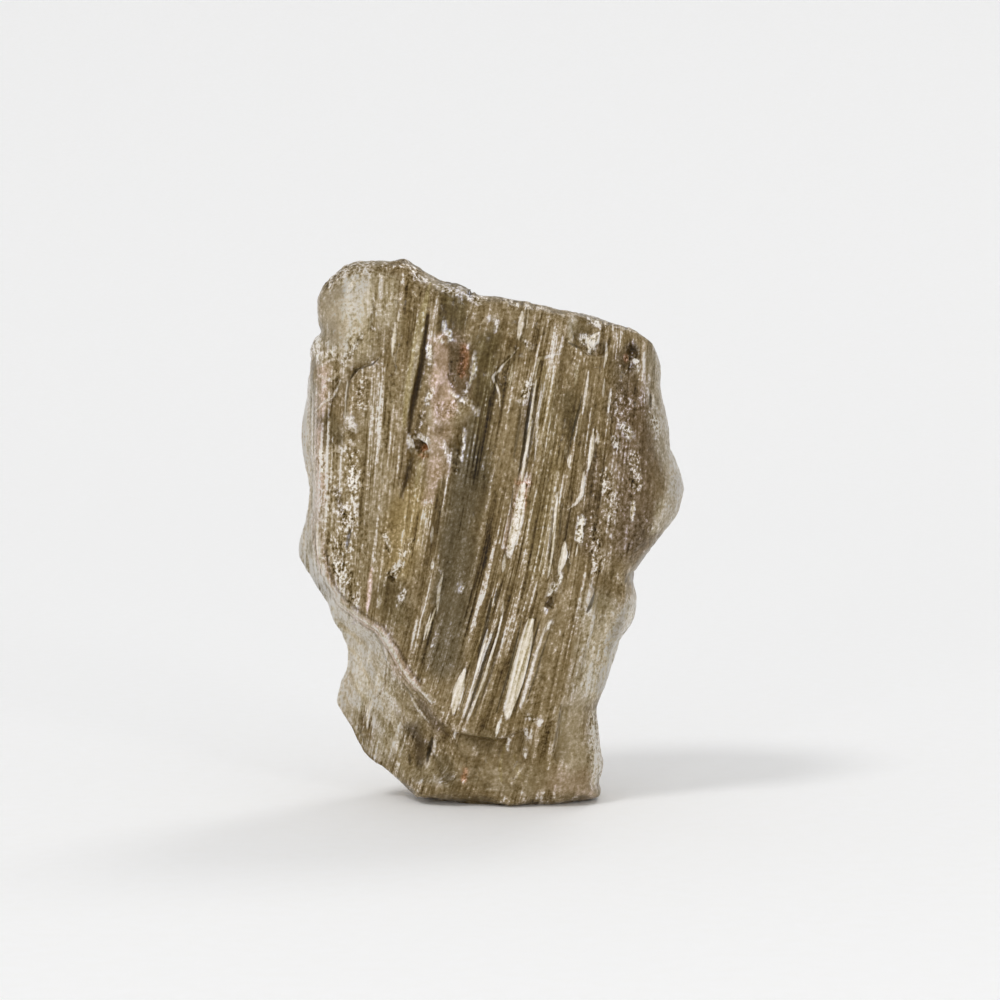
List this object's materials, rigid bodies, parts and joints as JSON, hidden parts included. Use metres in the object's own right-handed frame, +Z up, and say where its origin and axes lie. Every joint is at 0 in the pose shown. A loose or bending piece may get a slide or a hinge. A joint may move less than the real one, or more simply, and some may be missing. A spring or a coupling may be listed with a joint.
{
  "type": "natural glass stone",
  "caption": "Flow-banded natural glass specimen: an upright olive-brown splintery stone, ribbed along its height, with a broken end that it stands on.",
  "frame": {"origin": "middle of the stone's footprint box, on the plane of its flat spot", "axes": "+Z up along the flow bands, +X to the right of the broad face, which looks along -Y"},
  "size_m": [0.0248, 0.013, 0.035],
  "materials": {
    "glass": "satin, broken and ribbed, translucent at thin edges"
  },
  "bodies": {
    "root": {"stone": "glass"}
  },
  "joints": []
}
